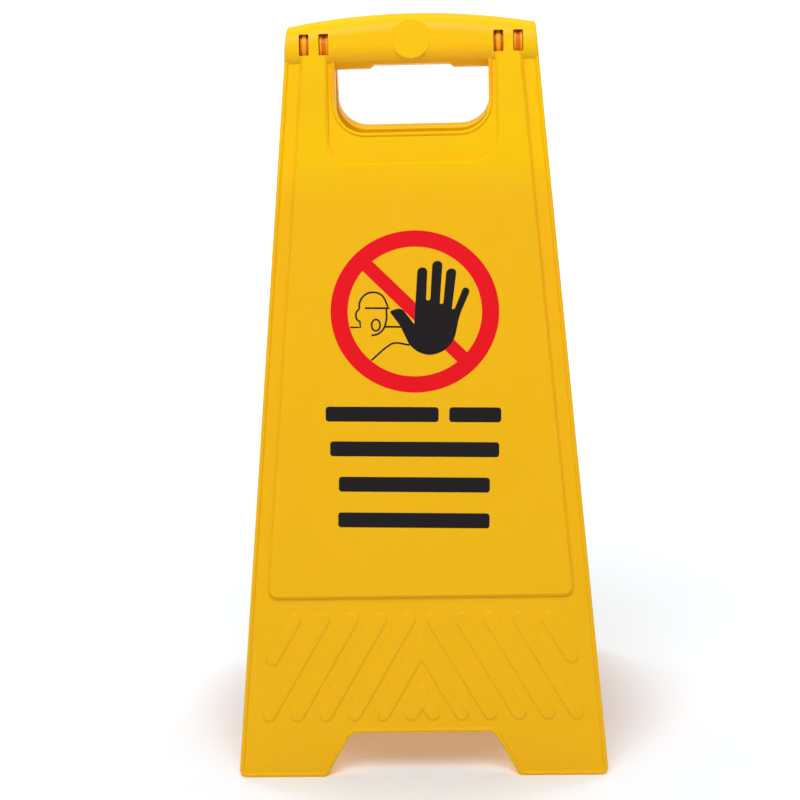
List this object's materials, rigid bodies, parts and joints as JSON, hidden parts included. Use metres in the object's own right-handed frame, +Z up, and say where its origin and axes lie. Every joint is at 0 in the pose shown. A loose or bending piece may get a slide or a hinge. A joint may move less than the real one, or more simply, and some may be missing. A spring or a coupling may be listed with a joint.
{
  "type": "warning sign stand",
  "caption": "Folding A-shaped floor sign stand of tapered moulded panels with a raised sign field, chevron ribs and feet, hinged inside a split carrying handle.",
  "frame": {"origin": "on the floor, midway between the feet of the open stand", "axes": "+Z up, the sign side of the front panel faces -Y, +X to the right seen from the front"},
  "size_m": [0.2988, 0.293, 0.6007],
  "materials": {
    "panel_plastic": "yellow moulded polypropylene, semi-gloss",
    "pin_plastic": "yellow moulded plastic, smooth"
  },
  "bodies": {
    "front": {"front_panel": "panel_plastic", "hinge_pin_left": "pin_plastic", "hinge_pin_right": "pin_plastic"},
    "rear": {"rear_panel": "panel_plastic"}
  },
  "joints": [
    {"name": "fold", "type": "hinge", "parent": "front", "child": "rear", "pos_m": [0, 0, 0.5747], "axis": [1, 0, 0], "range_deg": [-26, 0]}
  ]
}
